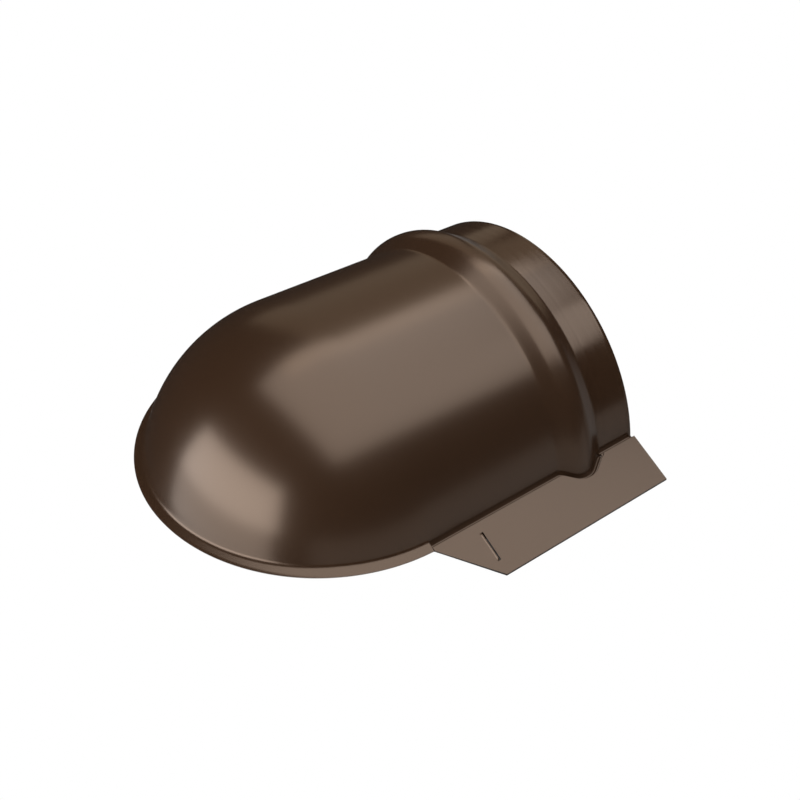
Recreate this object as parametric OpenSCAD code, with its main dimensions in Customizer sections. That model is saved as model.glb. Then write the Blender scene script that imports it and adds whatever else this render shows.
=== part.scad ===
// Half-round vent cowl: a pressed sheet hood with a closed dome, a raised bead, a collar and two
// sloping wings, with its seals and a screwed-in mouth guard.
// +Z is up, the dome points to -Y, the mouth opens to +Y, and X runs across. The origin is the
// centre of the footprint at the lowest point, which is the lower edge of the wing seals.

/* [Barrel] */
// Outer radius of the barrel and the dome
barrel_r = 100; // [90:1:120]
// Depth of the barrel's axis below the base plane
axis_drop = 23.3; // [18:0.1:30]
// Thickness of the pressed sheet
sheet_t = 1; // [0.8:0.1:1.2]
// Length from the dome's centre to the mouth
body_l = 140; // [134:1:180]

/* [Bead] */
// Distance from the dome's centre to the middle of the bead
bead_y = 100; // [92:1:102]
// Height of the bead's crown above the barrel
bead_h = 6.6; // [6:0.1:7]
// Length of the bead's straight crown
bead_crown_l = 1; // [0.5:0.5:3]
// Length of the ramp on the bead's dome side
bead_front_l = 15.5; // [14:0.5:17]
// Steepest slope of that ramp
bead_front_a = 33; // [31:1:36]
// Length of the ramp on the bead's mouth side
bead_rear_l = 13.8; // [13:0.1:15]
// Steepest slope of that ramp
bead_rear_a = 28; // [27:1:32]

/* [Collar] */
// Outer radius of the collar, as a step above the barrel
collar_step = 0.3; // [0.1:0.1:0.6]
// Length of the collar's lap inside the barrel
collar_lap_l = 14; // [10:1:20]

/* [Wings and lip] */
// Slope of the wings and the nose lip below level
wing_slope = 25; // [15:1:30]
// Width of each wing, measured down its slope
wing_w = 31.5; // [30:0.5:40]
// Distance from the foot of the wall to the wing's fold line
wing_groove = 1.6; // [1.2:0.1:2]
// Width of the lip round the nose, seen from above
lip_w = 4.9; // [4:0.1:6]
// Distance behind the dome's centre where the lip ends and the wing starts
wing_front_y = -3.7; // [-5:0.1:-3]
// Length of the wing's chamfered front corner
wing_chamfer_l = 26.2; // [20:0.2:28]
// Width of the foot flange that the wing lies on
flange_w = 11; // [9:0.5:12]
// Depth of the notch round the foot of the bead
notch_w = 7; // [7:0.1:8.5]

/* [Strap slot] */
// Length of the slot, across the wing
slot_l = 16.5; // [14:0.5:18]
// Width of the slot
slot_w = 1.2; // [1:0.1:2]
// Distance from the dome's centre to the slot
slot_y = 24; // [22:1:25]
// Height of the raised edge on the slot's dome side
slot_edge_h = 0.5; // [0.3:0.1:0.8]

/* [Seals] */
// Thickness of the foam strip under each wing
foam_t = 4; // [3:0.5:6]
// Width of the foam strip
foam_w = 15; // [12:0.5:15]
// Length of the rubber seal inside the bead
bead_seal_l = 12; // [8:1:12]

/* [Mouth guard] */
// Distance from the mouth in to the guard screen
guard_inset = 13; // [11:1:15]
// Thickness of the screen and of its brackets
guard_t = 1.2; // [1:0.1:1.5]
// Diameter of the holes in the screen
guard_hole_d = 5; // [4:0.5:6]
// Distance between the centres of neighbouring holes
guard_pitch = 7.5; // [7.5:0.5:9]
// Gap between the screen's arched edge and the collar
guard_gap = 1; // [0.5:0.1:1.5]
// Width of each guard bracket
bracket_w = 12; // [11:1:14]

/* [Hidden] */
$fn = 128;

coat = [0.27, 0.20, 0.16];
rubber = [0.06, 0.06, 0.06];
foam = [0.16, 0.16, 0.17];
zinc = [0.72, 0.73, 0.74];

// Base plane: the height of the wings' fold lines. Half width of the wall there.
base_x = sqrt(barrel_r * barrel_r - axis_drop * axis_drop);
fold_x = base_x + wing_groove;
lip_r = base_x + lip_w;
far = 2 * barrel_r;

// The bead runs from foot to foot, and its rear foot lies on the collar.
crown_r = barrel_r + bead_h;
collar_r = barrel_r + collar_step;
crown_y0 = bead_y - bead_crown_l / 2;
crown_y1 = bead_y + bead_crown_l / 2;
bead_y0 = crown_y0 - bead_front_l;
bead_y1 = crown_y1 + bead_rear_l;
bead_fillet = 3.6;
fillet_steps = 4;
crown_steps = 8;

// The collar steps down under the bead so that it fits inside the barrel.
lap_gap = 0.05;
lap_r = barrel_r - sheet_t - lap_gap;
joggle_y0 = bead_y0 + 1.5;
joggle_y1 = bead_y0 + 5.5;
lap_y0 = joggle_y0 - collar_lap_l;

// Wing outline, in the wing's own plane: s across from the fold line, y along.
lip_s = (lip_r - fold_x) / cos(wing_slope);
butt_gap = 0.2;
wing_s0 = 0.7; // the plate starts just outside its fold line
notch_flank = 3.2;
notch_round = 2.4;
notch_y0 = bead_y0 + 1.2;
notch_y1 = bead_y1 + 1;
slot_s = 15.4;
slot_edge_w = 0.5;

// The foot flange stays inside the wing's outline and starts inside the wall.
flange_s0 = -wing_groove;
flange_tuck = 3;
flange_margin = 0.5;

// Foam strips
foam_s0 = wing_w - 2 - foam_w;
foam_y0 = slot_y + 4;
foam_y1 = body_l - 2;
floor_z = -(foam_s0 + foam_w) * sin(wing_slope) - (sheet_t + foam_t) * cos(wing_slope);

// Guard
guard_r = collar_r - sheet_t - guard_gap;
guard_y = body_l - guard_inset;
guard_clear = 1;
guard_apex_r = 12;
guard_border = 3;
trim_in = 3;
trim_out = 1.4;
trim_wall = 1;
bracket_angles = [28, 90, 152];
bracket_tab_l = 13;
bracket_foot_l = 14;
screw_r = 2;
screw_depth = 8;
screw_hole_r = 2.25;
screw_l = 10;
head_r = 4;
head_h = 2.6;
washer_r = 4.5;
washer_t = 0.8;
nut_af = 7;
nut_h = 3.2;
thread_gap = 0.05;

centre_y = (body_l - lip_r) / 2;

// Height over the base plane of a line n above the wing's top plane, at distance x from the middle
function slope_z(x, n) = (fold_x - x) * tan(wing_slope) + n / cos(wing_slope);

// Points of a ramp that climbs from a foot to a crown, at depth d inside the skin: a fillet, a straight
// slope at angle a and a crown arc, each tangent to the next.
// dir is 1 where the ramp climbs towards the mouth and -1 where it climbs towards the dome.
function ramp(foot_y, foot_r, l, h, a, d, dir) =
    let (arc_r = (l * tan(a) - h) / (1 / cos(a) - 1) - bead_fillet)
    concat(
        [for (i = [0 : fillet_steps])
            let (t = a * i / fillet_steps)
            [foot_r + bead_fillet - (bead_fillet + d) * cos(t), foot_y + dir * (bead_fillet + d) * sin(t)]],
        [for (i = [crown_steps : -1 : 0])
            let (t = a * i / crown_steps)
            [foot_r + h - arc_r + (arc_r - d) * cos(t), foot_y + dir * (l - (arc_r - d) * sin(t))]]
    );
function reversed(list) = [for (i = [len(list) - 1 : -1 : 0]) list[i]];

// One skin of the barrel and bead, from the dome to the rear foot, at depth d inside the outside
function skin(d) = concat(
    [[barrel_r - d, 0]],
    ramp(bead_y0, barrel_r, bead_front_l, bead_h, bead_front_a, d, 1),
    reversed(ramp(
        bead_y1, collar_r + sheet_t, bead_rear_l, bead_h - collar_step - sheet_t, bead_rear_a, d, -1
    ))
);

// Turns a section [radius, y] round the barrel's axis
module around_barrel() {
    translate([0, 0, -axis_drop])
        rotate([-90, 0, 0])
            rotate_extrude()
                children();
}

// Extrudes a section [x, z] along Y, from y0 to y1
module along(y0, y1) {
    translate([0, y1, 0])
        rotate([90, 0, 0])
            linear_extrude(y1 - y0)
                children();
}

// Puts a shape drawn in [s, y, n] on the right wing's top plane
module on_slope() {
    translate([fold_x, 0, 0])
        rotate([0, wing_slope, 0])
            children();
}

// Moves the model from the dome's centre to the row's origin
module placed() {
    translate([0, -centre_y, -floor_z])
        children();
}

// Everything in front of the end of the lip
module nose_side() {
    translate([-far, -far, -far])
        cube([2 * far, far + wing_front_y, 2 * far]);
}

// What lies below the foot of the wall, from y0 to y1. The wall ends half way down the thickness of
// its foot flanges.
module below_foot(y0, y1) {
    inner_x = base_x - 6;
    top = slope_z(inner_x, -1.5 * sheet_t);
    outer = slope_z(far, -1.5 * sheet_t);
    along(y0, y1)
        polygon([
            [-far, -far], [-far, outer], [-inner_x, top],
            [inner_x, top], [far, outer], [far, -far]
        ]);
}

// The lip round the nose, flush with the wings
module nose_lip() {
    inner_x = base_x - sheet_t / 2;
    intersection() {
        rotate_extrude()
            polygon([
                [inner_x, slope_z(inner_x, 0)], [lip_r, slope_z(lip_r, 0)],
                [lip_r, slope_z(lip_r, -sheet_t)], [inner_x, slope_z(inner_x, -sheet_t)]
            ]);
        nose_side();
    }
}

// Where the wing's chamfered edge lies at distance s from the fold line
function chamfer_y(s) = wing_front_y + (s - lip_s) * wing_chamfer_l / (wing_w - lip_s);

// A foot flange under the right wing, as an outline [s, y]
module flange(outline) {
    on_slope()
        translate([0, 0, -2 * sheet_t])
            linear_extrude(sheet_t)
                polygon(outline);
}

module both_sides() {
    children();
    mirror([1, 0, 0])
        children();
}

// The domed nose: part of a hollow ball, whose poles lie out at the sides, below the base. Its wall
// ends half way down the lip's thickness, and behind the lip it ends as the barrel's does.
module dome() {
    bottom_z = slope_z(base_x, -sheet_t / 2);
    step_y = wing_front_y - flange_tuck + 1;
    difference() {
        translate([0, 0, -axis_drop])
            rotate([0, 90, 0])
                difference() {
                    sphere(r = barrel_r);
                    sphere(r = barrel_r - sheet_t);
                }
        translate([-far, 0, -far])
            cube([2 * far, far, 2 * far]);
        translate([-far, -far, -far])
            cube([2 * far, far + step_y, far + bottom_z]);
        below_foot(step_y - 1, 1);
    }
}

module barrel_and_bead() {
    difference() {
        around_barrel()
            polygon(concat(skin(0), reversed(skin(sheet_t))));
        below_foot(-1, body_l);
    }
}

module hood() {
    tuck_s = lip_s - flange_margin;
    flange_y1 = bead_y0 - flange_margin;
    color(coat)
        placed() {
            dome();
            barrel_and_bead();
            nose_lip();
            both_sides()
                flange([
                    [flange_s0, wing_front_y - flange_tuck],
                    [tuck_s, wing_front_y - flange_tuck],
                    [tuck_s, wing_front_y],
                    [flange_w, chamfer_y(flange_w) + 1],
                    [flange_w, flange_y1],
                    [flange_s0, flange_y1]
                ]);
        }
}

module collar() {
    in_r = collar_r - sheet_t;
    lap_in_r = lap_r - sheet_t;
    color(coat)
        placed() {
            difference() {
                around_barrel()
                    polygon([
                        [lap_in_r, lap_y0], [lap_r, lap_y0], [lap_r, joggle_y0],
                        [collar_r, joggle_y1], [collar_r, body_l],
                        [in_r, body_l], [in_r, joggle_y1], [lap_in_r, joggle_y0]
                    ]);
                below_foot(lap_y0 - 1, body_l + 1);
            }
            both_sides()
                flange([
                    [flange_s0, notch_y1 + 1], [flange_w, notch_y1 + 1],
                    [flange_w, body_l], [flange_s0, body_l]
                ]);
        }
}

// Points of a round corner, centred at c, that turns from angle a0 to angle a1
function corner(c, r, a0, a1) =
    [for (i = [0 : 6]) let (a = a0 + (a1 - a0) * i / 6) c + r * [cos(a), sin(a)]];

module wing_plate() {
    flank_a = atan(notch_flank / notch_w);
    // the corner circles touch the notch's straight edge and its slanted flanks
    inset_y = notch_flank + notch_round * (1 - sin(flank_a)) / cos(flank_a);
    round_s = notch_w - notch_round;
    on_slope() {
        translate([0, 0, -sheet_t])
            linear_extrude(sheet_t)
                difference() {
                    polygon(concat(
                        [
                            [wing_s0, wing_front_y + butt_gap],
                            [lip_s, wing_front_y + butt_gap],
                            [wing_w, wing_front_y + wing_chamfer_l],
                            [wing_w, body_l],
                            [wing_s0, body_l],
                            [wing_s0, notch_y1]
                        ],
                        corner([round_s, notch_y1 - inset_y], notch_round, 90 - flank_a, 0),
                        corner([round_s, notch_y0 + inset_y], notch_round, 0, flank_a - 90),
                        [[wing_s0, notch_y0]]
                    ));
                    translate([slot_s - slot_l / 2, slot_y - slot_w / 2])
                        square([slot_l, slot_w]);
                }
        translate([slot_s - slot_l / 2, slot_y - slot_w / 2 - slot_edge_w, -sheet_t / 2])
            cube([slot_l, slot_edge_w, sheet_t / 2 + slot_edge_h]);
    }
}

module wing_right() {
    color(coat)
        placed()
            wing_plate();
}

module wing_left() {
    color(coat)
        placed()
            mirror([1, 0, 0])
                wing_plate();
}

module bead_seal() {
    inner_r = collar_r + lap_gap;
    color(rubber)
        placed()
            difference() {
                around_barrel()
                    intersection() {
                        polygon(concat([[0, 0]], skin(sheet_t + lap_gap), [[0, bead_y1]]));
                        translate([inner_r, bead_y - bead_seal_l / 2])
                            square([crown_r - inner_r, bead_seal_l]);
                    }
                translate([-far, 0, -2 * far])
                    cube([2 * far, body_l, 2 * far]);
            }
}

module foam_strip() {
    on_slope()
        translate([foam_s0, foam_y0, -sheet_t - foam_t])
            cube([foam_w, foam_y1 - foam_y0, foam_t]);
}

module wing_seal_right() {
    color(foam)
        placed()
            foam_strip();
}

module wing_seal_left() {
    color(foam)
        placed()
            mirror([1, 0, 0])
                foam_strip();
}

// What lies under the ridge line, as a section [x, z] with a rounded apex, raised by d
module ridge(d) {
    apex_z = slope_z(0, guard_clear + d) - guard_apex_r / cos(wing_slope);
    polygon(concat(
        [[-far, -far], [-far, slope_z(far, guard_clear + d)]],
        corner([0, apex_z], guard_apex_r, 90 + wing_slope, 90 - wing_slope),
        [[far, slope_z(far, guard_clear + d)], [far, -far]]
    ));
}

// The screen's outline [x, z], pulled in by d all round
module guard_outline(d) {
    difference() {
        translate([0, -axis_drop])
            circle(r = guard_r - d);
        ridge(d);
    }
}

// Where the screw at angle a goes through the screen, as [x, z]
function screw_point(a) =
    [cos(a) * (guard_r - screw_depth), sin(a) * (guard_r - screw_depth) - axis_drop];

// Is a hole at [x, z] clear of the screen's edges and of the screws?
function clear_of_edges(p) =
    norm([p[0], p[1] + axis_drop]) < guard_r - guard_border - guard_hole_d / 2
    && p[1] > slope_z(abs(p[0]), guard_clear + trim_in + 1 + guard_hole_d / 2)
    && min([for (a = bracket_angles) norm(p - screw_point(a))]) > washer_r + guard_hole_d / 2 + 0.5;

module guard_screen() {
    row_h = guard_pitch * sin(60);
    rows = floor(barrel_r / row_h);
    columns = floor(barrel_r / guard_pitch);
    color(zinc)
        placed()
            along(guard_y, guard_y + guard_t)
                difference() {
                    guard_outline(0);
                    for (j = [0 : rows], i = [-columns : columns]) {
                        p = [(i + (j % 2) / 2) * guard_pitch, j * row_h];
                        if (clear_of_edges(p))
                            translate(p)
                                circle(d = guard_hole_d);
                    }
                    for (a = bracket_angles)
                        translate(screw_point(a))
                            circle(r = screw_hole_r);
                }
}

module guard_trim() {
    color(rubber)
        placed()
            difference() {
                along(guard_y - trim_wall, guard_y + guard_t + trim_wall)
                    difference() {
                        translate([0, -axis_drop])
                            circle(r = guard_r - 1);
                        ridge(-trim_out);
                        difference() {
                            translate([0, -axis_drop])
                                circle(r = guard_r);
                            ridge(trim_in);
                        }
                    }
                along(guard_y, guard_y + guard_t)
                    guard_outline(0);
            }
}

// Repeats what is drawn round the origin, with its axis along Y, at each guard screw
module at_screws(y) {
    for (a = bracket_angles)
        translate([screw_point(a)[0], y, screw_point(a)[1]])
            rotate([0, 90 - a, 0])
                children();
}

module guard_brackets() {
    in_r = collar_r - sheet_t;
    foot_y0 = guard_y - bracket_foot_l;
    color(zinc)
        placed()
            for (a = bracket_angles)
                difference() {
                    intersection() {
                        translate([0, 0, -axis_drop])
                            rotate([0, 90 - a, 0])
                                translate([-bracket_w / 2, foot_y0, in_r - bracket_tab_l])
                                    cube([bracket_w, bracket_foot_l, bracket_tab_l + 2]);
                        around_barrel()
                            difference() {
                                translate([in_r - bracket_tab_l - 2, foot_y0])
                                    square([bracket_tab_l + 2, bracket_foot_l]);
                                translate([0, foot_y0 - 1])
                                    square([in_r - guard_t, bracket_foot_l + 1 - guard_t]);
                            }
                    }
                    translate([screw_point(a)[0], guard_y + 1, screw_point(a)[1]])
                        rotate([90, 0, 0])
                            cylinder(r = screw_hole_r, h = guard_t + 2);
                }
}

module guard_screws() {
    color(zinc)
        placed()
            at_screws(guard_y + guard_t + washer_t)
                rotate([90, 0, 0]) {
                    cylinder(r = screw_r, h = screw_l);
                    translate([0, 0, -head_h])
                        cylinder(r = head_r, h = head_h);
                }
}

module guard_washers() {
    color(zinc)
        placed()
            at_screws(guard_y + guard_t + washer_t)
                rotate([90, 0, 0])
                    difference() {
                        cylinder(r = washer_r, h = washer_t);
                        translate([0, 0, -1])
                            cylinder(r = screw_hole_r, h = washer_t + 2);
                    }
}

module guard_nuts() {
    color(zinc)
        placed()
            at_screws(guard_y - guard_t)
                rotate([90, 0, 0])
                    difference() {
                        cylinder(d = nut_af / cos(30), h = nut_h, $fn = 6);
                        translate([0, 0, -1])
                            cylinder(r = screw_r + thread_gap, h = nut_h + 2);
                    }
}

hood();
collar();
wing_right();
wing_left();
bead_seal();
wing_seal_right();
wing_seal_left();
guard_screen();
guard_trim();
guard_brackets();
guard_screws();
guard_washers();
guard_nuts();
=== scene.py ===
"""Looks for a half-round sheet-metal vent cowl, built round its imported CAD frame.

Lengths below are in millimetres in the cowl's own frame: X across, Y = 0 at the dome's centre with
the mouth at +Y, and Z = 0 at the height of the wings' fold lines. row() turns them into metres in the
row's frame. The lights, the floor and the cards are in metres in the row's frame.
"""

from math import atan2, cos, degrees, pi, radians, sin, sqrt, tan

import bmesh
import bpy
from mathutils import Matrix, Vector


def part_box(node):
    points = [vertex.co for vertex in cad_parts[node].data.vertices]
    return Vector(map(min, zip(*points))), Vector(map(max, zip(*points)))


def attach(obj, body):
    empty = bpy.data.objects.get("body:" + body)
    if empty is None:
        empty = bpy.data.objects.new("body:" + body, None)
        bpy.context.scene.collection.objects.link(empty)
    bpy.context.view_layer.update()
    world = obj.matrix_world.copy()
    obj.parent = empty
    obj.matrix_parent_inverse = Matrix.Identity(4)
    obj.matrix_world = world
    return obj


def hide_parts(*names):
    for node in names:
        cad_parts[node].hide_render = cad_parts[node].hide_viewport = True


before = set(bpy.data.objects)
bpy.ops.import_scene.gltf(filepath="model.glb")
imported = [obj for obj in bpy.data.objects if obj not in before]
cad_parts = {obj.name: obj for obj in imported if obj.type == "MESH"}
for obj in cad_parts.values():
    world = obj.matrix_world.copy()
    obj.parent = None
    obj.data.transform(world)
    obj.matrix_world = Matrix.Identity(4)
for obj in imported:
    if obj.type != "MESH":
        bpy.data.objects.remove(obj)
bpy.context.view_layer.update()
scene = bpy.context.scene

# ---------------------------------------------------------------- sizes

# Shared with the part's own source: barrel, wings and lip.
BARREL_R = 100.0
AXIS_DROP = 23.3
SHEET = 1.0
BODY_L = 140.0
SLOPE = radians(25)
GROOVE = 1.6
BASE_X = sqrt(BARREL_R**2 - AXIS_DROP**2)
FOLD_X = BASE_X + GROOVE
LIP_W = 4.9
LIP_S = (BASE_X + LIP_W - FOLD_X) / cos(SLOPE)
WING_W = 31.5
WING_Y0 = -3.7
CHAMFER_L = 26.2
FLANGE_W, FLANGE_MARGIN = 11.0, 0.5
SLOT_S, SLOT_Y, SLOT_L, SLOT_W = 15.4, 24.0, 16.5, 1.2

# Bead and collar.
BEAD_Y, BEAD_CROWN_L, BEAD_H = 100.0, 1.0, 6.6
BEAD_FRONT, BEAD_FRONT_A = 15.5, radians(33)
BEAD_REAR, BEAD_REAR_A = 13.8, radians(28)
BEAD_FILLET = 3.6
BEAD_Y0 = BEAD_Y - BEAD_CROWN_L / 2 - BEAD_FRONT
BEAD_Y1 = BEAD_Y + BEAD_CROWN_L / 2 + BEAD_REAR
COLLAR_STEP = 0.3
COLLAR_R = BARREL_R + COLLAR_STEP
LAP_R = BARREL_R - SHEET - 0.05
LAP_L, JOGGLE_L = 14.0, 4.0

# Foam strips.
FOAM_T, FOAM_W = 4.0, 15.0
FOAM_S0 = WING_W - 2 - FOAM_W
FOAM_Y0, FOAM_Y1 = SLOT_Y + 4, BODY_L - 2

# Guard.
GUARD_R = COLLAR_R - SHEET - 1.0
GUARD_Y = BODY_L - 13.0
GUARD_T, GUARD_CLEAR, APEX_R, BORDER = 1.2, 1.0, 12.0, 3.0
TRIM_IN, TRIM_OUT, TRIM_WALL = 3.0, 1.4, 1.0
HOLE_D, PITCH = 5.0, 7.5
BRACKET_ANGLES = (28, 90, 152)
BRACKET_W, BRACKET_FOOT, BRACKET_TAB = 12.0, 14.0, 13.0
SCREW_RING_R = GUARD_R - 8.0
SCREW_R, SCREW_L, HEAD_R, HEAD_H = 2.0, 10.0, 4.0, 2.6
SCREW_HOLE_R, WASHER_R, WASHER_T = 2.25, 4.5, 0.8
NUT_FLAT_R, NUT_H = 3.5, 3.2

# Sizes that only the looks need.
ROWS = 64  # steps from the wall's foot to the crown
SKIN = 0.02  # left free between pieces that touch
FILLET = 3.2  # between the lip and the wall
CREASE, CREASE_W, CREASE_FILLET = 1.7, 0.9, 0.8  # the groove pressed in the flange, beside the wall
WING_GAP, FRONT_LAP = 0.15, 0.25  # the wing stays off the groove's rim and laps over the lip's step
BEAD_GAP = 0.5  # from the bead's foot to the wing, along Y
RIDGE_H, RIDGE_W, RIDGE_RISE = 0.75, 1.0, 0.65  # the slot's raised edge
TRIM_ROUND = 1.0
BRACKET_BEND = 2.4
HEAD_ROUND = 1.8
THREAD_PITCH, THREAD_DEPTH = 0.7, 0.18  # the depth as a share of the radius

# The row's frame, from the CAD: the bead's crown is the hood's highest point, the lip its foremost.
hood_low, hood_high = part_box("hood")
CROWN_Z = BARREL_R + BEAD_H - AXIS_DROP
ORIGIN = Vector((0, hood_low.y * 1000 + BASE_X + LIP_W, hood_high.z * 1000 - CROWN_Z))


def row(point):
    """A point in millimetres in the cowl's frame, as metres in the row's frame."""
    return (Vector(point) + ORIGIN) / 1000


# ---------------------------------------------------------------- camera, lights and floor

camera_data = bpy.data.cameras.new("camera")
camera_data.lens = 50
camera_data.sensor_width = 36
camera_data.clip_start, camera_data.clip_end = 0.01, 50
camera = bpy.data.objects.new("camera", camera_data)
scene.collection.objects.link(camera)
CAMERA_PLACE = (0.38470, -0.27524, 0.41723)
CAMERA_RIGHT = Vector((0.6107955, 0.7914013, 0.0247552))
CAMERA_UP = Vector((-0.5105859, 0.3697838, 0.7762487))
camera_axes = Matrix((CAMERA_RIGHT, CAMERA_UP, CAMERA_RIGHT.cross(CAMERA_UP))).transposed()
camera.matrix_world = Matrix.Translation(CAMERA_PLACE) @ camera_axes.to_4x4()
scene.camera = camera

scene.view_settings.view_transform = "Standard"


def softbox(name, location, target, width, height, radiance, colour=(1, 1, 1)):
    """A rectangular light of the given radiance that faces the target."""
    light = bpy.data.lights.new(name, "AREA")
    light.shape = "RECTANGLE"
    light.size, light.size_y = width, height
    light.energy = radiance * width * height * pi
    light.color = colour
    obj = bpy.data.objects.new(name, light)
    scene.collection.objects.link(obj)
    obj.location = location
    look = (Vector(target) - Vector(location)).normalized()
    obj.rotation_euler = look.to_track_quat("-Z", "Y").to_euler()


# What the gloss sees on the left and behind is a little warmer than the main boxes.
WARM = (0.85, 0.70, 0.52)
softbox("front_box", (-0.135, -1.2, 0.33), (-0.135, 0, 0.33), 1.63, 0.66, 4.8)
softbox("top_box", (0.32, 0.30, 1.5), (0.32, 0.30, 0), 2.24, 2.0, 2.3)
softbox("top_left_strip", (-0.62, 0.53, 1.49), (-0.62, 0.53, 0), 0.36, 1.54, 1.2, WARM)
softbox("top_right_box", (1.0, 1.55, 1.5), (1.0, 1.55, 0), 1.1, 0.5, 2.3)
softbox("back_left_box", (-1.2, 2.2, 0.8), (-1.2, 0, 0.8), 1.6, 1.5, 0.5, WARM)
softbox("left_ceiling", (-1.5, 1.2, 1.5), (-1.5, 1.2, 0), 1.4, 1.6, 0.5, WARM)
softbox("left_wall", (-2.2, 1.2, 1.0), (0, 1.2, 1.0), 1.6, 1.0, 0.5, WARM)


def light_path_mix(tree, factor, first, second, output):
    """Shows the first shader where factor is 0 and the second where it is 1."""
    mix = tree.nodes.new("ShaderNodeMixShader")
    tree.links.new(factor, mix.inputs["Fac"])
    tree.links.new(first, mix.inputs[1])
    tree.links.new(second, mix.inputs[2])
    tree.links.new(mix.outputs[0], output)


# The world is white to the camera and nearly black to everything else.
world = bpy.data.worlds.new("studio")
scene.world = world
world.use_nodes = True
nt = world.node_tree
nt.nodes.clear()
dim = nt.nodes.new("ShaderNodeBackground")
pale = nt.nodes.new("ShaderNodeBackground")
dim.inputs["Color"].default_value = (0.02, 0.02, 0.02, 1)
pale.inputs["Color"].default_value = (1, 1, 1, 1)
camera_ray = nt.nodes.new("ShaderNodeLightPath").outputs["Is Camera Ray"]
sky_out = nt.nodes.new("ShaderNodeOutputWorld")
light_path_mix(nt, camera_ray, dim.outputs[0], pale.outputs[0], sky_out.inputs["Surface"])


def stage_plane(name, corners, material):
    """A four-cornered plane that belongs to the stage and not to the part."""
    mesh = bpy.data.meshes.new(name)
    mesh.from_pydata(corners, [], [(0, 1, 2, 3)])
    mesh.materials.append(material)
    obj = bpy.data.objects.new(name, mesh)
    scene.collection.objects.link(obj)
    return obj


# A white sweep: plain white to the camera, except in the shade under the cowl, and a pale matt
# floor to the light.
floor_mat = bpy.data.materials.new("floor")
floor_mat.use_nodes = True
nt = floor_mat.node_tree
bsdf = nt.nodes["Principled BSDF"]
bsdf.inputs["Roughness"].default_value = 0.9
bsdf.inputs["Specular IOR Level"].default_value = 0.0
white = nt.nodes.new("ShaderNodeEmission")


def node_math(tree, operation, *values):
    """A math node fed by numbers or by other nodes' outputs."""
    node = tree.nodes.new("ShaderNodeMath")
    node.operation = operation
    for socket, value in zip(node.inputs, values):
        if isinstance(value, (int, float)):
            socket.default_value = value
        else:
            tree.links.new(value, socket)
    return node.outputs[0]


split = nt.nodes.new("ShaderNodeSeparateXYZ")
nt.links.new(nt.nodes.new("ShaderNodeNewGeometry").outputs["Position"], split.inputs[0])


def floor_distance(y0, squeeze):
    """Distance from the middle line ahead of y0 (mm), with the part in front of y0 drawn out."""
    past = node_math(nt, "SUBTRACT", split.outputs["Y"], row((0, y0, 0)).y)
    ahead = node_math(nt, "MULTIPLY", node_math(nt, "MINIMUM", past, 0.0), squeeze)
    squares = [node_math(nt, "POWER", value, 2.0) for value in (split.outputs["X"], ahead)]
    return node_math(nt, "SQRT", node_math(nt, "ADD", *squares))


# The shade's outline: nearly as wide as the wings behind, narrower than the lip round the nose. Inside it the
# floor's grey is painted darker: a painted shade under the cowl.
SHADE_WINGS, SHADE_NOSE, SHADE_GREY, LIT_GREY = 0.121, 0.078, 0.35, 0.80
past_wings = node_math(nt, "GREATER_THAN", floor_distance(30, 4.0), SHADE_WINGS)
past_nose = node_math(nt, "GREATER_THAN", floor_distance(0, 1.0), SHADE_NOSE)
behind = node_math(nt, "GREATER_THAN", split.outputs["Y"], row((0, BODY_L - 1, 0)).y)
outside = node_math(nt, "MAXIMUM", node_math(nt, "MINIMUM", past_wings, past_nose), behind)
matt = nt.nodes.new("ShaderNodeCombineXYZ")
# the floor's grey: pale outside the outline, a darker painted shade inside it
grey = node_math(nt, "ADD", node_math(nt, "MULTIPLY", outside, LIT_GREY - SHADE_GREY), SHADE_GREY)
for socket in matt.inputs:
    nt.links.new(grey, socket)
nt.links.new(matt.outputs[0], bsdf.inputs["Base Color"])
camera_ray = nt.nodes.new("ShaderNodeLightPath").outputs["Is Camera Ray"]
floor_out = nt.nodes["Material Output"].inputs["Surface"]
seen_white = node_math(nt, "MULTIPLY", camera_ray, outside)
light_path_mix(nt, seen_white, bsdf.outputs[0], white.outputs[0], floor_out)
floor = stage_plane("floor", [(-6, -6, 0), (6, -6, 0), (6, 6, 0), (-6, 6, 0)], floor_mat)
floor.visible_glossy = False


def reflector(name, corners, radiance):
    """A glowing card under the floor's level: what the gloss sees in place of the table top."""
    material = bpy.data.materials.new(name)
    material.use_nodes = True
    nodes = material.node_tree.nodes
    nodes.clear()
    out, glow = nodes.new("ShaderNodeOutputMaterial"), nodes.new("ShaderNodeEmission")
    glow.inputs["Strength"].default_value = radiance
    material.node_tree.links.new(glow.outputs[0], out.inputs["Surface"])
    material.cycles.emission_sampling = "NONE"
    stage_plane(name, corners, material)


def upright(x0, y0, x1, y1, low):
    """Corners of an upright card over the line from (x0, y0) to (x1, y1)."""
    return [(x0, y0, low), (x1, y1, low), (x1, y1, CARD_TOP), (x0, y0, CARD_TOP)]


CARD_X, CARD_BACK, CARD_FRONT, CARD_LOW, CARD_TOP = 1.3, 1.3, -1.2, -0.9, -0.005
reflector("card_front", upright(-0.95, CARD_FRONT, 0.6, CARD_FRONT, -0.6), 2.2)
reflector("card_back", upright(-CARD_X, CARD_BACK, CARD_X, CARD_BACK, CARD_LOW), 0.25)
reflector("card_right", upright(CARD_X, CARD_FRONT, CARD_X, 1.2, CARD_LOW), 0.4)
below = [(-CARD_X, CARD_FRONT), (CARD_X, CARD_FRONT), (CARD_X, CARD_BACK), (-CARD_X, CARD_BACK)]
reflector("card_below", [(x, y, CARD_LOW) for x, y in below], 0.8)

# ---------------------------------------------------------------- materials


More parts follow.
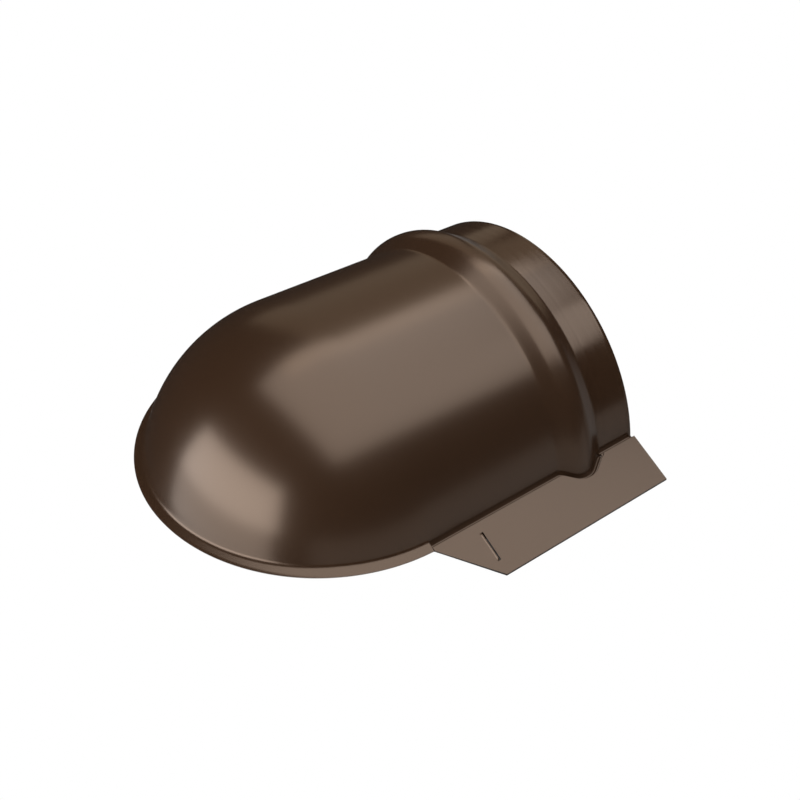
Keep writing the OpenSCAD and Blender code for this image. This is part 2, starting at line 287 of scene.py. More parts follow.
class Nodes:
    """Short-hand for building one material's node tree."""

    def __init__(self, name, colour, metallic, roughness):
        self.material = bpy.data.materials.new(name)
        self.material.use_nodes = True
        self.tree = self.material.node_tree
        self.bsdf = self.tree.nodes["Principled BSDF"]
        self.bsdf.inputs["Base Color"].default_value = (*colour, 1)
        self.bsdf.inputs["Metallic"].default_value = metallic
        self.bsdf.inputs["Roughness"].default_value = roughness
        self.coords = self.tree.nodes.new("ShaderNodeTexCoord")

    def add(self, kind, **values):
        node = self.tree.nodes.new("ShaderNode" + kind)
        for key, value in values.items():
            if key in node.inputs:
                node.inputs[key].default_value = value
            else:
                setattr(node, key, value)
        return node

    def link(self, source, target):
        self.tree.links.new(source, target)

    def scaled(self, x, y, z):
        node = self.add("Mapping")
        node.inputs["Scale"].default_value = (x, y, z)
        self.link(self.coords.outputs["Object"], node.inputs["Vector"])
        return node.outputs["Vector"]

    def noise(self, vector, scale, detail=3.0, rough=0.5):
        node = self.add("TexNoise", Scale=scale, Detail=detail, Roughness=rough)
        self.link(vector, node.inputs["Vector"])
        return node.outputs["Fac"]

    def ramp(self, value, low, high):
        """A noise value, mapped from its usual range to low...high."""
        node = self.add("MapRange")
        for key, v in (("From Min", 0.3), ("From Max", 0.7), ("To Min", low), ("To Max", high)):
            node.inputs[key].default_value = v
        self.link(value, node.inputs["Value"])
        return node.outputs["Result"]

    def colour_between(self, value, first, second):
        node = self.add("Mix", data_type="RGBA")
        colour_a = [s for s in node.inputs if s.name == "A" and s.type == "RGBA"][0]
        colour_b = [s for s in node.inputs if s.name == "B" and s.type == "RGBA"][0]
        colour_a.default_value = (*first, 1)
        colour_b.default_value = (*second, 1)
        self.link(value, node.inputs[0])
        result = [s for s in node.outputs if s.type == "RGBA"][0]
        self.link(result, self.bsdf.inputs["Base Color"])

    def bump(self, height, distance, strength):
        node = self.add("Bump")
        node.inputs["Distance"].default_value = distance
        node.inputs["Strength"].default_value = strength
        self.link(height, node.inputs["Height"])
        self.link(node.outputs["Normal"], self.bsdf.inputs["Normal"])


def shades(colour, low, high):
    """Two shades of one colour."""
    return tuple(c * low for c in colour), tuple(c * high for c in colour)


COAT = (0.031, 0.0153, 0.0079)


def coat_material(name, brushed=False):
    """Semi-gloss dark brown coating over sheet metal; its gloss is a little brown as well."""
    m = Nodes(name, COAT, 0.0, 0.25)
    m.bsdf.inputs["IOR"].default_value = 1.5
    m.bsdf.inputs["Specular IOR Level"].default_value = 0.84
    m.bsdf.inputs["Specular Tint"].default_value = (1.0, 0.77, 0.61, 1)
    plain = m.scaled(1, 1, 1)
    m.colour_between(m.ramp(m.noise(plain, 14, 2), 0, 1), *shades(COAT, 0.97, 1.03))
    if brushed:
        # roller marks that run round the hoop
        streaks = m.noise(m.scaled(4, 700, 4), 1, 2, 0.6)
        m.link(m.ramp(streaks, 0.14, 0.22), m.bsdf.inputs["Roughness"])
        m.bump(streaks, 0.00001, 0.35)
    else:
        m.link(m.ramp(m.noise(plain, 22, 1), 0.245, 0.255), m.bsdf.inputs["Roughness"])
        m.bump(m.noise(plain, 9, 0), 0.00020, 0.10)
    return m.material


coat = coat_material("coat")
coat_hoop = coat_material("coat_hoop", brushed=True)


def metal_material(name, colour, roughness, streak_scale):
    """Bare or zinc-plated steel with fine streaks."""
    m = Nodes(name, colour, 1.0, roughness)
    fine = m.noise(m.scaled(*streak_scale), 1, 3, 0.6)
    m.link(m.ramp(fine, roughness * 0.8, roughness * 1.3), m.bsdf.inputs["Roughness"])
    m.colour_between(m.ramp(m.noise(m.scaled(1, 1, 1), 35, 3), 0, 1), *shades(colour, 0.93, 1.0))
    m.bump(fine, 0.00002, 0.4)
    return m.material


screen_metal = metal_material("screen_steel", (0.60, 0.60, 0.59), 0.30, (60, 60, 2500))
bracket_metal = metal_material("bracket_steel", (0.58, 0.59, 0.60), 0.32, (1500, 60, 60))
fastener_metal = metal_material("fastener_steel", (0.66, 0.66, 0.66), 0.24, (300, 300, 300))


def soft_material(name, colour, roughness, cell_scale, depth):
    """A matt material with a fine cellular surface: rubber, foam, and the wing's cut edge, whose near-black
    colour is a painted shade.
    """
    m = Nodes(name, colour, 0.0, roughness)
    plain = m.scaled(1, 1, 1)
    cells = m.add("TexVoronoi", Scale=cell_scale)
    m.link(plain, cells.inputs["Vector"])
    m.colour_between(m.ramp(m.noise(plain, 90, 3), 0, 1), *shades(colour, 0.8, 1.25))
    uneven = m.ramp(m.noise(plain, 300, 2), roughness - 0.08, roughness + 0.08)
    m.link(uneven, m.bsdf.inputs["Roughness"])
    m.bump(cells.outputs["Distance"], depth, 0.6)
    return m.material


# The wing plates' cut edges: a near-black brown, far darker than the coat, a painted shade for the dark line
# along the edges.
cut_edge_painted_shade = soft_material("cut_edge_painted_shade", (0.010, 0.006, 0.004), 0.65, 3000, 0.00001)
rubber = soft_material("rubber", (0.018, 0.018, 0.018), 0.55, 2500, 0.00002)
foam = soft_material("foam", (0.045, 0.045, 0.048), 0.88, 1600, 0.00012)

# ---------------------------------------------------------------- mesh helpers


def finish_mesh(obj, angle=35):
    """Applies the modifiers and shades smoothly, with sharp edges over the angle."""
    bpy.context.view_layer.update()
    evaluated = obj.evaluated_get(bpy.context.evaluated_depsgraph_get())
    mesh = bpy.data.meshes.new_from_object(evaluated)
    obj.modifiers.clear()
    old = obj.data
    obj.data = mesh
    bpy.data.meshes.remove(old)
    for p in mesh.polygons:
        p.use_smooth = True
    mesh.set_sharp_from_angle(angle=radians(angle))
    return obj


def new_object(name, bm, material):
    """An object made from a bmesh, which is used up."""
    mesh = bpy.data.meshes.new(name)
    bm.to_mesh(mesh)
    bm.free()
    mesh.materials.append(material)
    obj = bpy.data.objects.new(name, mesh)
    scene.collection.objects.link(obj)
    return obj


def grid(bm, points, closed_columns=False):
    """Quads over a list of columns of points, in mm in the cowl's frame."""
    verts = [[bm.verts.new(row(p)) for p in column] for column in points]
    count = len(verts)
    for i in range(count if closed_columns else count - 1):
        a, b = verts[i], verts[(i + 1) % count]
        for j in range(len(a) - 1):
            bm.faces.new([a[j], b[j], b[j + 1], a[j + 1]])


def tube(bm, loops):
    """Faces between closed loops of points, in mm in the cowl's frame, and over both ends."""
    verts = [[bm.verts.new(row(p)) for p in loop] for loop in loops]
    for first, second in zip(verts, verts[1:]):
        for j in range(len(first)):
            k = (j + 1) % len(first)
            bm.faces.new([first[j], first[k], second[k], second[j]])
    bm.faces.new(verts[0])
    bm.faces.new(verts[-1])


def mirrored(bm):
    """Adds the mirror image across X = 0."""
    both = bmesh.ops.duplicate(bm, geom=bm.verts[:] + bm.edges[:] + bm.faces[:])
    copies = [g for g in both["geom"] if isinstance(g, bmesh.types.BMVert)]
    for v in copies:
        v.co.x = -v.co.x
    bmesh.ops.reverse_faces(bm, faces=[g for g in both["geom"] if isinstance(g, bmesh.types.BMFace)])


def pressed(name, bm, material, thickness=SHEET, edge=0.12):
    """Gives an open surface the sheet's thickness on its inner side, and softened cut edges."""
    bmesh.ops.remove_doubles(bm, verts=bm.verts, dist=2e-6)
    bmesh.ops.dissolve_degenerate(bm, edges=bm.edges, dist=1e-6)
    obj = new_object(name, bm, material)
    solid = obj.modifiers.new("sheet", "SOLIDIFY")
    solid.thickness = thickness / 1000
    solid.offset = -1
    solid.use_even_offset = True
    solid.use_quality_normals = True
    bevel = obj.modifiers.new("edges", "BEVEL")
    bevel.width = edge / 1000
    bevel.segments = 2
    bevel.limit_method = "ANGLE"
    bevel.angle_limit = radians(50)
    bevel.use_clamp_overlap = True
    return finish_mesh(obj)


def joined(obj, others):
    """Makes one object of several."""
    with bpy.context.temp_override(active_object=obj, selected_editable_objects=[obj, *others]):
        bpy.ops.object.join()
    return obj


def ride(obj, node):
    """Fixes the piece to the root and hides the CAD node that it stands in for."""
    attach(obj, "root")
    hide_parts(node)


# ---------------------------------------------------------------- hood and collar


def slope_z(x, n):
    """Height of a line n above the wing's top plane at distance x from the middle."""
    return (FOLD_X - x) * tan(SLOPE) + n / cos(SLOPE)


def foot_section(radius, step, edge_s, steps=7):
    """The foot of the wall in (r, z): the edge of lip or flange first, then up the fillet.
    step goes from 0, the lip, to 1, the flange: one sheet lower, with a groove beside the wall.
    Returns the points, the wall's start angle and the groove's outer rim, from the fold line."""
    t, c = tan(SLOPE), cos(SLOPE)
    fillet = FILLET + (CREASE_FILLET - FILLET) * step
    n = -SHEET * step
    floor_n = n - CREASE * step
    # the fillet's centre lies above the floor's line and outside the wall's circle
    k = FOLD_X * t + (floor_n + fillet) / c + AXIS_DROP
    qa, qb, qc = 1 + t * t, -2 * k * t, k * k - (radius + fillet) ** 2
    cx = (-qb + sqrt(qb * qb - 4 * qa * qc)) / (2 * qa)
    cz = k - cx * t - AXIS_DROP
    wall_angle = atan2(cz + AXIS_DROP, cx)
    low, high = 3 * pi / 2 - SLOPE, pi + wall_angle
    turn = [
        (cx + fillet * cos(low + (high - low) * i / steps), cz + fillet * sin(low + (high - low) * i / steps))
        for i in range(steps + 1)
    ]
    start_s = (turn[0][0] - FOLD_X - floor_n * sin(SLOPE)) / cos(SLOPE)
    rim_s = start_s + CREASE_W
    flat = [(edge_s, n), ((edge_s + rim_s) / 2, n), (rim_s, n)]
    flat += [(rim_s - CREASE_W / 2, n + (floor_n - n) * 0.8), (start_s + CREASE_W / 6, floor_n)]
    flat = [(FOLD_X + s * cos(SLOPE) + m * sin(SLOPE), -s * sin(SLOPE) + m * cos(SLOPE)) for s, m in flat]
    return flat + turn[:-1], wall_angle, rim_s


def wall_points(radius, start):
    """The wall in (r, z), from its start angle up to the crown."""
    angles = (start + (pi / 2 - start) * j / ROWS for j in range(ROWS + 1))
    return [(radius * cos(a), radius * sin(a) - AXIS_DROP) for a in angles]


def cut_angle(radius, n):
    """Where a wall of this radius meets the plane n above the wing's top."""
    t = tan(SLOPE)
    k = FOLD_X * t + n / cos(SLOPE) + AXIS_DROP
    qa, qb, qc = 1 + t * t, -2 * k * t, k * k - radius**2
    x = (-qb + sqrt(qb * qb - 4 * qa * qc)) / (2 * qa)
    return atan2(k - x * t, x)


def smooth(x, low, high):
    """A soft step from 0 at low to 1 at high."""
    u = min(max((x - low) / (high - low), 0.0), 1.0)
    return u * u * (3 - 2 * u)


def ramp(foot_y, foot_r, length, height, angle, direction, steps=10):
    """A fillet, a straight slope and a crown arc from a foot up to a crown, as (radius, y)."""
    crown_r = (length * tan(angle) - height) / (1 / cos(angle) - 1) - BEAD_FILLET
    points = []
    for i in range(steps // 2 + 1):
        t = angle * i / (steps // 2)
        points.append((foot_r + BEAD_FILLET * (1 - cos(t)), foot_y + direction * BEAD_FILLET * sin(t)))
    for i in range(steps, -1, -1):
        t = angle * i / steps
        y = foot_y + direction * (length - crown_r * sin(t))
        points.append((foot_r + height - crown_r * (1 - cos(t)), y))
    # even spacing along the straight slope
    first, last = points[steps // 2], points[steps // 2 + 1]
    straight = [tuple(p + (q - p) * k / 4 for p, q in zip(first, last)) for k in range(1, 4)]
    return points[: steps // 2 + 1] + straight + points[steps // 2 + 1 :]


def bead_profile():
    """The bead from its front foot over the crown to its rear foot, as (radius, y)."""
    rear_h = BEAD_H - COLLAR_STEP - SHEET
    rear = ramp(BEAD_Y1, COLLAR_R + SHEET, BEAD_REAR, rear_h, BEAD_REAR_A, -1)
    return ramp(BEAD_Y0, BARREL_R, BEAD_FRONT, BEAD_H, BEAD_FRONT_A, 1) + rear[::-1]


def along_x(section, y):
    """A section's points at y, to the right of the middle."""
    return [(x, y, z) for x, z in section]


def flange_s(y):
    """Distance from the fold line to the flange's edge, which keeps inside the wing's chamfer."""
    chamfer_s = LIP_S + (y - WING_Y0) * (WING_W - LIP_S) / CHAMFER_L
    return min(FLANGE_W, chamfer_s - FLANGE_MARGIN)


def make_hood():
    """Dome, barrel and bead with lip and foot flange, in one pressing."""
    bm = bmesh.new()
    columns = []
    # right half of the nose, from the middle of the front round to the side, where the lip steps
    # down under the wing
    coarse, fine = [90 - 1.5 * i for i in range(58)], [3.6 - 0.2 * i for i in range(19)]
    for degree in coarse + fine:
        a = radians(degree)
        y = -BARREL_R * sin(a)
        step = smooth(y, WING_Y0 - 0.5, WING_Y0 + 0.1)
        edge_s = LIP_S if y < WING_Y0 else flange_s(y)
        section, start, _ = foot_section(BARREL_R, step, edge_s)
        section += wall_points(BARREL_R, start)
        columns.append([(r * cos(a), -r * sin(a), z) for r, z in section])
    for y in [2.0 * i for i in range(1, 42)] + [BEAD_Y0 - 0.5]:
        section, start, _ = foot_section(BARREL_R, 1, flange_s(y))
        columns.append(along_x(section + wall_points(BARREL_R, start), y))
    for radius, y in bead_profile():
        section, start, _ = foot_section(radius, 1, FLANGE_W)
        columns.append(along_x(section + wall_points(radius, start), y))
    grid(bm, columns)
    mirrored(bm)
    bmesh.ops.recalc_face_normals(bm, faces=bm.faces)
    return pressed("hood_pressing", bm, coat)


def make_collar():
    """The hoop behind the bead: its front end steps down and laps inside the barrel."""
    bm = bmesh.new()
    joggle_y0 = BEAD_Y0 + 1.5
    lap_y0, joggle_y1 = joggle_y0 - LAP_L, joggle_y0 + JOGGLE_L
    start_wall = foot_section(COLLAR_R, 1, FLANGE_W)[1]
    profile = [(LAP_R, lap_y0 + (joggle_y0 - lap_y0) * i / 6) for i in range(6)]
    for i in range(9):
        y = joggle_y0 + (joggle_y1 - joggle_y0) * i / 8
        profile.append((LAP_R + (COLLAR_R - LAP_R) * smooth(y, joggle_y0, joggle_y1), y))
    first = BEAD_Y1 + 0.15
    profile += [(COLLAR_R, y) for y in [*range(92, 113, 4), first]]
    grid(bm, [along_x(wall_points(radius, start_wall), y) for radius, y in profile])
    columns = []
    for i in range(13):
        y = first + (BODY_L - first) * i / 12
        section, start, _ = foot_section(COLLAR_R, 1, FLANGE_W)
        columns.append(along_x(section + wall_points(COLLAR_R, start), y))
    grid(bm, columns)
    mirrored(bm)
    bmesh.ops.recalc_face_normals(bm, faces=bm.faces)
    return pressed("collar_hoop", bm, coat_hoop)


# ---------------------------------------------------------------- wings


def on_slope(s, y, n, side):
    """A point given across the slope, along Y and above the wing's top plane."""
    x = FOLD_X + s * cos(SLOPE) + n * sin(SLOPE)
    return (side * x, y, -s * sin(SLOPE) + n * cos(SLOPE))


def arc(centre, radius, a0, a1, steps=8):
    """Points on an arc from a0 to a1 degrees."""
    angles = [radians(a0 + (a1 - a0) * i / steps) for i in range(steps + 1)]
    return [(centre[0] + radius * cos(a), centre[1] + radius * sin(a)) for a in angles]


def circle(centre, radius):
    return arc(centre, radius, 0, 360, 20)[:-1]


def plate(name, outlines, thickness, edge, material, place, sides=None):
    """A flat plate with softened edges from 2-D outlines in mm, the first outer and the rest holes.
    place turns (u, v, height over the plate's middle) into a point in the cowl's frame.
    sides is a second material for the cut edges."""
    curve = bpy.data.curves.new(name, "CURVE")
    curve.dimensions = "2D"
    curve.fill_mode = "BOTH"
    curve.extrude = thickness / 2 - edge
    curve.bevel_depth = edge
    curve.bevel_resolution = 1
    curve.offset = -edge
    for outline in outlines:
        spline = curve.splines.new("POLY")
        spline.points.add(len(outline) - 1)
        for p, (u, v) in zip(spline.points, outline):
            p.co = (u, v, 0, 1)
        spline.use_cyclic_u = True
    obj = bpy.data.objects.new(name + "_outline", curve)
    scene.collection.objects.link(obj)
    bpy.context.view_layer.update()
    mesh = bpy.data.meshes.new_from_object(obj.evaluated_get(bpy.context.evaluated_depsgraph_get()))
    bpy.data.objects.remove(obj)
    bm = bmesh.new()
    bm.from_mesh(mesh)
    bpy.data.meshes.remove(mesh)
    bmesh.ops.remove_doubles(bm, verts=bm.verts, dist=1e-4)
    for v in bm.verts:
        v.co = row(place(*v.co))
    bmesh.ops.recalc_face_normals(bm, faces=bm.faces)
    for face in bm.faces:
        face.material_index = 0
    obj = new_object(name, bm, material)
    mesh = obj.data
    normal = (row(place(0, 0, 1)) - row(place(0, 0, 0))).normalized()
    for p in mesh.polygons:
        p.use_smooth = abs(p.normal.dot(normal)) < 0.99
    if sides:
        mesh.materials.append(sides)
        for p in mesh.polygons:
            p.material_index = 1 if abs(p.normal.dot(normal)) < 0.6 else 0
    return obj


def foot_s(radius):
    """Distance from the fold line to the wing's inner edge, beside a wall of this radius."""
    return foot_section(radius, 1, FLANGE_W)[2] + WING_GAP


def wing_outline():
    """The wing's inner edge keeps an even gap to the foot of the barrel, the bead and the collar."""
    inner = [(foot_s(COLLAR_R), y) for y in (BODY_L, BEAD_Y1 + 1.6)]
    for radius, y in bead_profile()[::-1]:
        inner.append((foot_s(radius), y + (BEAD_GAP if y > BEAD_Y else -BEAD_GAP)))
    inner += [(foot_s(BARREL_R), WING_Y0 - FRONT_LAP), (LIP_S, WING_Y0 - FRONT_LAP)]
    return inner + [(WING_W, WING_Y0 + CHAMFER_L), (WING_W, BODY_L)]


def make_wing(name, side):
    """A flat wing with one slot. Its outer edge is cut upright."""
    corners = ((-1, -1), (1, -1), (1, 1), (-1, 1))
    slot = [(SLOT_S + i * SLOT_L / 2, SLOT_Y + j * SLOT_W / 2) for i, j in corners]

    def on_wing(u, v, h):
        depth = SHEET / 2 - h
        outwards = depth * tan(SLOPE) if u > WING_W - 0.3 else 0
        return on_slope(u + outwards, v, -depth, side)

    # the cut edges take the near-black material: painted shade
    wing = plate(name, [wing_outline(), slot], SHEET, 0.08, coat, on_wing, cut_edge_painted_shade)
    # the raised edge of the slot: a low ridge that runs out at both ends
    bm = bmesh.new()
    columns = []
    for i in range(25):
        u = i / 24
        height = RIDGE_H * smooth(min(u, 1 - u), 0, 0.05) + 0.01
        s = SLOT_S - SLOT_L / 2 + SLOT_L * u
        edge_y = SLOT_Y - SLOT_W / 2
        foot_y = edge_y - RIDGE_W
        column = [(s, foot_y, -0.04)]
        for k in range(1, 6):
            column.append((s, foot_y + RIDGE_RISE * k / 5, height * smooth(k, 0, 5) - 0.01))
        column += [(s, edge_y - 0.10, height - 0.02), (s, edge_y, height - 0.10), (s, edge_y, -0.3)]
        columns.append([on_slope(*p, side) for p in column])
    grid(bm, columns)
    bmesh.ops.recalc_face_normals(bm, faces=bm.faces)
    ridge = finish_mesh(new_object(name + "_ridge", bm, coat), 60)
    return joined(wing, [ridge])


# ---------------------------------------------------------------- guard across the mouth


def ridge_line(d, radius, steps=14):
    """The screen's lower edge raised by d, from right to left in (x, z): slope, rounded apex, slope."""
    end = cut_angle(radius, GUARD_CLEAR + d)
    x_end, apex_z = radius * cos(end), slope_z(0, GUARD_CLEAR + d) - APEX_R / cos(SLOPE)
    turn = arc((0, apex_z), APEX_R, 90 - degrees(SLOPE), 90 + degrees(SLOPE), steps)
    across = [x_end + (turn[0][0] - x_end) * i / 8 for i in range(8)]
    right = [(x, slope_z(x, GUARD_CLEAR + d)) for x in across]
    return right + turn + [(-x, z) for x, z in right[::-1]]


def screw_point(angle):
    """The middle of a screw in (x, z)."""
    a = radians(angle)
    return (SCREW_RING_R * cos(a), SCREW_RING_R * sin(a) - AXIS_DROP)


def clear_of_edges(x, z):
    """Whether a hole at (x, z) keeps off the screen's edges and the washers."""
    screws = map(screw_point, BRACKET_ANGLES)
    return (
        sqrt(x * x + (z + AXIS_DROP) ** 2) < GUARD_R - BORDER - HOLE_D / 2
        and z > slope_z(abs(x), GUARD_CLEAR + TRIM_IN + 1 + HOLE_D / 2)
        and min(sqrt((x - u) ** 2 + (z - v) ** 2) for u, v in screws) > WASHER_R + HOLE_D / 2 + 0.5
    )


def make_screen():
    """A perforated half-round sheet, its lower edge cut to clear the ridge."""
    end = degrees(cut_angle(GUARD_R, GUARD_CLEAR))
    outlines = [arc((0, -AXIS_DROP), GUARD_R, end, 180 - end, 96)[:-1] + ridge_line(0, GUARD_R)[::-1][:-1]]
    row_h = PITCH * sin(radians(60))
    for j in range(int(BARREL_R / row_h) + 1):
        for i in range(-int(BARREL_R / PITCH), int(BARREL_R / PITCH) + 1):
            x, z = (i + (j % 2) / 2) * PITCH, j * row_h
            if clear_of_edges(x, z):
                outlines.append(circle((x, z), HOLE_D / 2))
    outlines += [circle(screw_point(a), SCREW_HOLE_R) for a in BRACKET_ANGLES]

    def across_mouth(u, v, h):
        return (u, GUARD_Y + GUARD_T / 2 + h, v)

    return plate("guard_perforated_sheet", outlines, GUARD_T, 0.12, screen_metal, across_mouth)


def make_trim():
    """A rubber channel pushed over the screen's lower edge: a closed (d, y) section carried along it."""
    y0, y1, lip = GUARD_Y - TRIM_WALL, GUARD_Y + GUARD_T + TRIM_WALL, TRIM_WALL / 2
    section = arc((-TRIM_OUT + TRIM_ROUND, y0 + TRIM_ROUND), TRIM_ROUND, 270, 180, 5)
    section += arc((-TRIM_OUT + TRIM_ROUND, y1 - TRIM_ROUND), TRIM_ROUND, 180, 90, 5)
    section += arc((TRIM_IN - lip, y1 - lip), lip, 90, -90, 6)
    section += [(-SKIN, y1 - TRIM_WALL), (-SKIN, y0 + TRIM_WALL)]
    section += arc((TRIM_IN - lip, y0 + lip), lip, 90, -90, 6)
    lines = [[(x, y, z) for x, z in ridge_line(d, GUARD_R - 1)] for d, y in section]
    bm = bmesh.new()
    tube(bm, zip(*lines))
    bmesh.ops.recalc_face_normals(bm, faces=bm.faces)
    return finish_mesh(new_object("guard_edge_channel", bm, rubber), 50)


def spun(bm, centre, profile, steps=48, shaped=None, closed=False):
    """Turns a profile of (radius, y) round the line along Y through centre (x, z).
    shaped gives the (radius, y) to use in place of a profile point at an angle."""
    columns = []
    for i in range(steps):
        a = 2 * pi * i / steps
        column = [shaped(r, y, a) if shaped else (r, y) for r, y in profile]
        columns.append([(centre[0] + r * cos(a), y, centre[1] + r * sin(a)) for r, y in column])
        if closed:
            columns[-1].append(columns[-1][0])
    grid(bm, columns, closed_columns=True)
    bmesh.ops.remove_doubles(bm, verts=bm.verts, dist=1e-6)


def cut_by(obj, boxes):
    """Takes convex blocks, each given by its corners in the cowl's frame, out of a piece."""
    bm = bmesh.new()
    for corners in boxes:
        verts = [bm.verts.new(row(p)) for p in corners]
        bmesh.ops.convex_hull(bm, input=verts)
    tool = new_object("cutter", bm, obj.data.materials[0])
    cut = obj.modifiers.new("cut", "BOOLEAN")
    cut.object, cut.operation, cut.solver = tool, "DIFFERENCE", "EXACT"
    finish_mesh(obj, 35)
    bpy.data.objects.remove(tool)
    return obj


def make_bracket(angle, number):
    """A bent angle: its foot follows the hoop's inside, its tab stands behind the screen."""
    in_r, bend = COLLAR_R - SHEET - SKIN, BRACKET_BEND
    foot_y0, bend_y = GUARD_Y - BRACKET_FOOT, GUARD_Y - bend
    profile = [(in_r, foot_y0 + (bend_y - foot_y0) * i / 6) for i in range(6)]
    quarter = [pi / 2 * i / 8 for i in range(9)]
    profile += [(in_r - bend + bend * cos(t), bend_y + bend * sin(t)) for t in quarter]
    profile += [(in_r - bend - (BRACKET_TAB - bend) * i / 6, GUARD_Y) for i in range(1, 7)]
    a = radians(angle)
    bm = bmesh.new()
    columns = []
    for i in range(13):
        u = -BRACKET_W / 2 + BRACKET_W * i / 12
        column = []
        for r, y in profile:
            up = sqrt(r * r - u * u)
            x, z = up * cos(a) + u * sin(a), up * sin(a) - u * cos(a) - AXIS_DROP
            column.append((x, y - SKIN, z))
        columns.append(column)
    grid(bm, columns)
    obj = pressed(f"guard_bracket_{number}", bm, bracket_metal, GUARD_T, 0.15)
    hole = circle(screw_point(angle), SCREW_HOLE_R)
    return cut_by(obj, [[(u, y, v) for y in (GUARD_Y - 3, GUARD_Y + 1) for u, v in hole]])


def cross_recess(centre, top, turn):
    """One arm of the cross as a tapered block: wide at the head's top, narrow at its floor."""
    c, n = cos(radians(turn)), sin(radians(turn))
    corners = ((-1, -1), (-1, 1), (1, -1), (1, 1))
    block = []
    for y, half, wide in ((top + 0.1, 2.1, 0.48), (top - 1.4, 0.9, 0.34)):
        for i, j in corners:
            du, dv = i * half, j * wide
            block.append((centre[0] + du * c - dv * n, y, centre[1] + du * n + dv * c))
    return block


def make_screw(angle, number):
    """M4 pan head with a cross recess, and a rolled thread on the shank."""
    centre, seat = screw_point(angle), GUARD_Y + GUARD_T + WASHER_T
    top, tip, round_y = seat + HEAD_H, seat - SCREW_L, seat + HEAD_H - HEAD_ROUND
    bm = bmesh.new()
    head = [(SCREW_R, seat), (HEAD_R - 0.15, seat), (HEAD_R, seat + 0.15), (HEAD_R, round_y)]
    for t in (pi / 2 * i / 8 for i in range(1, 9)):
        head.append((HEAD_R - HEAD_ROUND + HEAD_ROUND * cos(t), round_y + HEAD_ROUND * sin(t)))
    head.append((0, top))
    spun(bm, centre, head[::-1])
    obj = finish_mesh(new_object(f"guard_screw_{number}", bm, fastener_metal), 40)

    def thread(r, y, a):
        phase = ((y - seat) / THREAD_PITCH - a / (2 * pi)) % 1
        fade = smooth(y, tip, tip + 0.6)
        return (r * (1 - THREAD_DEPTH * abs(2 * phase - 1)) * (0.86 + 0.14 * fade), y)

    bm = bmesh.new()
    core_r, core_y1 = SCREW_R - SKIN, seat + SKIN
    core = [(0, tip)] + [(core_r, tip + (core_y1 - tip) * i / 100) for i in range(101)]
    spun(bm, centre, core[::-1], 28, thread)
    bmesh.ops.recalc_face_normals(bm, faces=bm.faces)
    shank = finish_mesh(new_object(f"guard_shank_{number}", bm, fastener_metal), 40)
    # the head's underside is closed before the cross is cut
    bm = bmesh.new()
    bm.from_mesh(obj.data)
    bmesh.ops.holes_fill(bm, edges=[e for e in bm.edges if e.is_boundary])
    bmesh.ops.recalc_face_normals(bm, faces=bm.faces)
    bm.to_mesh(obj.data)
    bm.free()
    cut_by(obj, [cross_recess(centre, top, turn) for turn in (45, 135)])
    return joined(obj, [shank])


def make_washer(angle, number):
    """A flat ring with softened edges."""
    r0, r1, edge = SCREW_HOLE_R, WASHER_R, 0.12
    y0, y1 = GUARD_Y + GUARD_T, GUARD_Y + GUARD_T + WASHER_T
    loop = [(r0 + edge, y0 + 0.01), (r1 - edge, y0 + 0.01), (r1, y0 + edge), (r1, y1 - edge)]
    loop += [(r1 - edge, y1 - 0.01), (r0 + edge, y1 - 0.01), (r0, y1 - edge), (r0, y0 + edge)]
    bm = bmesh.new()
    spun(bm, screw_point(angle), loop, closed=True)
    bmesh.ops.recalc_face_normals(bm, faces=bm.faces)
    return finish_mesh(new_object(f"guard_washer_{number}", bm, fastener_metal), 35)


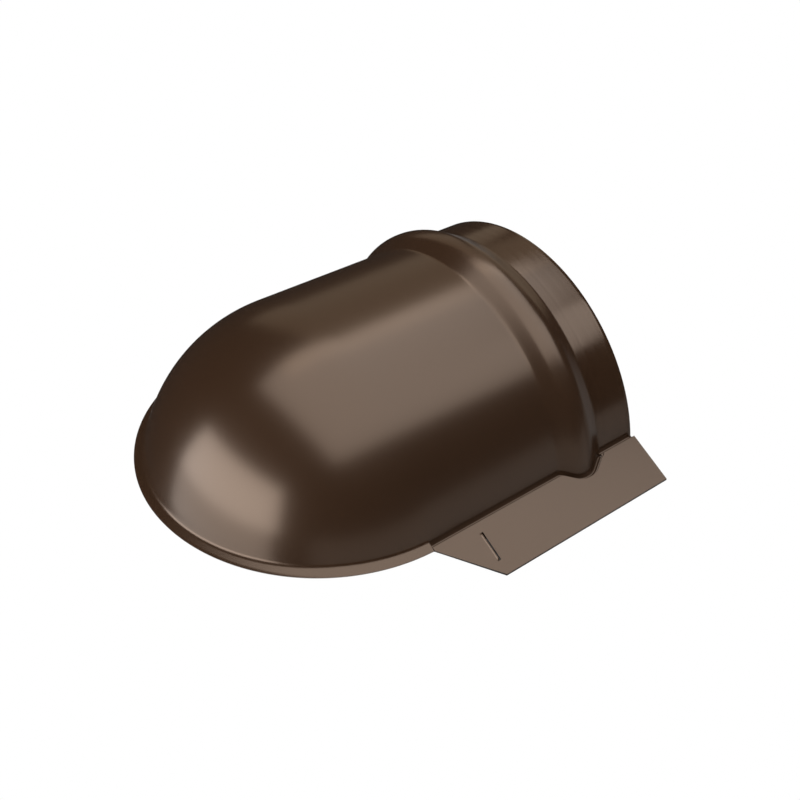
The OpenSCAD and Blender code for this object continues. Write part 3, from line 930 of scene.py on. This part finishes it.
def make_nut(angle, number):
    """Hexagon nut, both faces turned down to a circle at the corners."""
    y0, y1, flat = GUARD_Y - GUARD_T - NUT_H, GUARD_Y - GUARD_T - SKIN, NUT_FLAT_R
    face_r, bore_r = 0.97 * flat, SCREW_R + 0.05

    def hexagon(r, y, a):
        if r < flat:
            return (r, y)
        side = flat / cos((a - radians(angle) + pi / 6) % (pi / 3) - pi / 6)
        drop = (side - face_r) * 0.55
        return (side, y0 + drop if y < (y0 + y1) / 2 else y1 - drop)

    loop = [(bore_r + 0.25, y0), (face_r, y0), (flat + 0.5, y0 + 0.1), (flat + 0.5, y1 - 0.1)]
    loop += [(face_r, y1), (bore_r + 0.25, y1), (bore_r, y1 - 0.3), (bore_r, y0 + 0.3)]
    bm = bmesh.new()
    spun(bm, screw_point(angle), loop, 72, hexagon, closed=True)
    bmesh.ops.recalc_face_normals(bm, faces=bm.faces)
    return finish_mesh(new_object(f"guard_nut_{number}", bm, fastener_metal), 25)


def make_foam(name, side):
    """A foam strip under the wing, its edges soft and its sides a little hollow between the faces."""
    top, bottom, corner_r = -SHEET - SKIN, -SHEET - FOAM_T, 1.2
    middle_s, middle_y = FOAM_S0 + FOAM_W / 2, (FOAM_Y0 + FOAM_Y1) / 2
    half_w, half_l = FOAM_W / 2 - corner_r, (FOAM_Y1 - FOAM_Y0) / 2 - corner_r
    bm = bmesh.new()
    rings = []
    for k in range(9):
        t = k / 8
        inset = 0.1125 * sqrt(4 * t * (1 - t)) + 0.5 * abs(2 * t - 1) ** 8
        ring = []
        for i, j, a0 in ((1, -1, -90), (1, 1, 0), (-1, 1, 90), (-1, -1, 180)):
            centre = (middle_s + i * half_w, middle_y + j * half_l)
            ring += arc(centre, corner_r - inset, a0, a0 + 90, 4)
        n = top + (bottom - top) * t
        rings.append([on_slope(s, y, n, side) for s, y in ring])
    tube(bm, rings)
    bmesh.ops.recalc_face_normals(bm, faces=bm.faces)
    strip = finish_mesh(new_object(name, bm, foam), 40)
    return strip


# ---------------------------------------------------------------- build

ride(make_hood(), "hood")
ride(make_collar(), "collar")
ride(make_wing("wing_plate_right", 1), "wing_right")
ride(make_wing("wing_plate_left", -1), "wing_left")
ride(make_foam("foam_strip_right", 1), "wing_seal_right")
ride(make_foam("foam_strip_left", -1), "wing_seal_left")
ride(make_screen(), "guard_screen")
ride(make_trim(), "guard_trim")
for number, angle in enumerate(BRACKET_ANGLES, 1):
    ride(make_bracket(angle, number), "guard_brackets")
    ride(make_screw(angle, number), "guard_screws")
    ride(make_washer(angle, number), "guard_washers")
    ride(make_nut(angle, number), "guard_nuts")

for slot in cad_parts["bead_seal"].material_slots:
    slot.material = rubber
